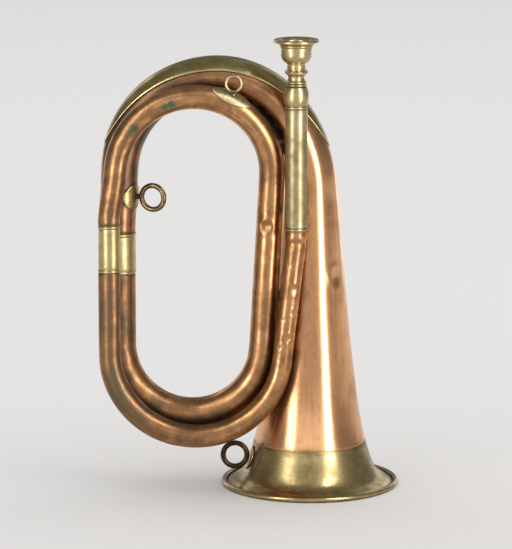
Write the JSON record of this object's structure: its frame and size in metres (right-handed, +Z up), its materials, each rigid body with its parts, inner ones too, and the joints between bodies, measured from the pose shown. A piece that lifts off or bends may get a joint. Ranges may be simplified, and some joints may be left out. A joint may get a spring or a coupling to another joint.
{
  "type": "bugle",
  "caption": "Twice-wound copper bugle with brass mouthpiece, ferrules, bow guard, bell garland and lanyard rings. The mouthpiece pulls out of its receiver.",
  "frame": {"origin": "on the ground under the middle of the object's box, with the bell's mouth down on Z = 0 and the bell's axis on Y = 0", "axes": "+Z up the bell's axis towards the mouthpiece, +X from the coil to the bell, -Y towards the mouthpiece pipe, which is the front"},
  "size_m": [0.1925, 0.1136, 0.2923],
  "materials": {
    "copper": "old polished copper sheet, browned and mottled, soft reflections",
    "brass_plain": "turned brass, worn and slightly dull",
    "brass_bright": "polished brass, worn",
    "brass_tarnished": "tarnished olive brass",
    "iron_wire": "plain drawn iron wire, inside the rolled rim",
    "solder": "dull grey soft solder"
  },
  "bodies": {
    "bugle": {"mouthpiece_receiver": "brass_plain", "receiver_ring": "brass_plain", "leadpipe_sleeve": "brass_plain", "sleeve_end_ring": "brass_plain", "leadpipe": "copper", "ferrule_front": "brass_bright", "coil_pipe": "copper", "ferrule_back": "brass_bright", "bell_pipe": "copper", "garland": "brass_tarnished", "rim_wire": "iron_wire", "bow_guard": "brass_tarnished", "top_ring_plate": "brass_bright", "top_ring_foot": "brass_bright", "top_ring": "brass_bright", "side_ring_plate": "brass_tarnished", "side_ring_foot": "brass_tarnished", "side_ring": "brass_tarnished", "bell_ring_plate": "brass_tarnished", "bell_ring": "brass_tarnished", "leadpipe_stay_upper": "brass_tarnished", "leadpipe_stay_lower": "brass_tarnished", "solder_ferrules": "solder", "solder_left_pipes": "solder", "solder_coil_bell": "solder"},
    "mouthpiece": {"mouthpiece": "brass_plain"}
  },
  "joints": [
    {"name": "mouthpiece_pull", "type": "slide", "parent": "bugle", "child": "mouthpiece", "axis": [0, 0, 1], "range_m": [0, 0.03]}
  ]
}
